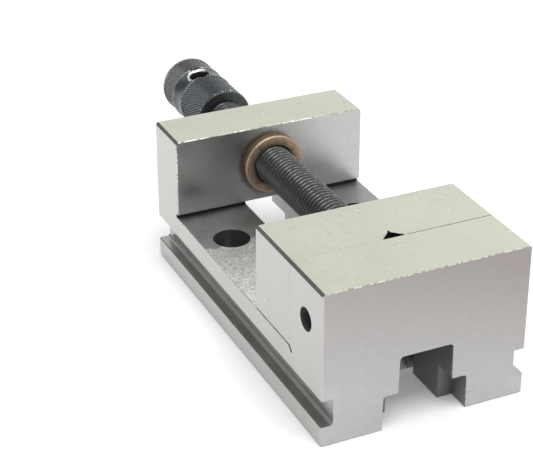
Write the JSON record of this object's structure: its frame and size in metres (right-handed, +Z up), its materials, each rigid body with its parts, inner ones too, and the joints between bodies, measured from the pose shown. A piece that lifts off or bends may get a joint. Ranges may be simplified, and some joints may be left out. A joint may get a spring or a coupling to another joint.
{
  "type": "screw vise",
  "caption": "Low precision machine vise: one-piece ground steel body, sliding jaw in a keeper slot, screw through a bronze nut, and a knurled knob.",
  "frame": {"origin": "midway between the axes of the two hold-down bolts, in the plane of the underside", "axes": "+X across the jaws to the right seen from the fixed jaw's end, +Y from the fixed jaw to the knob, +Z up"},
  "size_m": [0.073, 0.1974, 0.0543],
  "materials": {
    "ground_steel": "surface ground, bright",
    "hard_steel": "hardened and ground",
    "black_oxide": "chemically blackened, oiled",
    "bronze": "turned, satin"
  },
  "bodies": {
    "base": {"body": "ground_steel", "screw_nut": "bronze", "nut_grub_screw": "black_oxide"},
    "jaw": {"movable_jaw": "ground_steel", "keeper_plate": "hard_steel", "keeper_dowel_front": "hard_steel", "keeper_dowel_rear": "hard_steel", "keeper_washer_front": "black_oxide", "keeper_washer_rear": "black_oxide", "keeper_screw_front": "black_oxide", "keeper_screw_rear": "black_oxide", "retaining_pin_left": "hard_steel", "retaining_pin_right": "hard_steel", "pin_grub_left": "black_oxide", "pin_grub_right": "black_oxide", "thrust_pad": "hard_steel"},
    "screw": {"lead_screw": "black_oxide", "knob": "black_oxide", "knob_key": "hard_steel", "knob_washer": "black_oxide", "knob_screw": "black_oxide"}
  },
  "joints": [
    {"name": "jaw_slide", "type": "slide", "parent": "base", "child": "jaw", "axis": [0, 1, 0], "range_m": [0, 0.063]},
    {"name": "screw_turn", "type": "hinge", "parent": "jaw", "child": "screw", "pos_m": [0, 0, 0.04], "axis": [0, 1, 0], "range_deg": [0, 11340]}
  ],
  "couplings": [
    {"joint": "screw_turn", "follows": "jaw_slide", "rad_per_m": 3141.6}
  ]
}
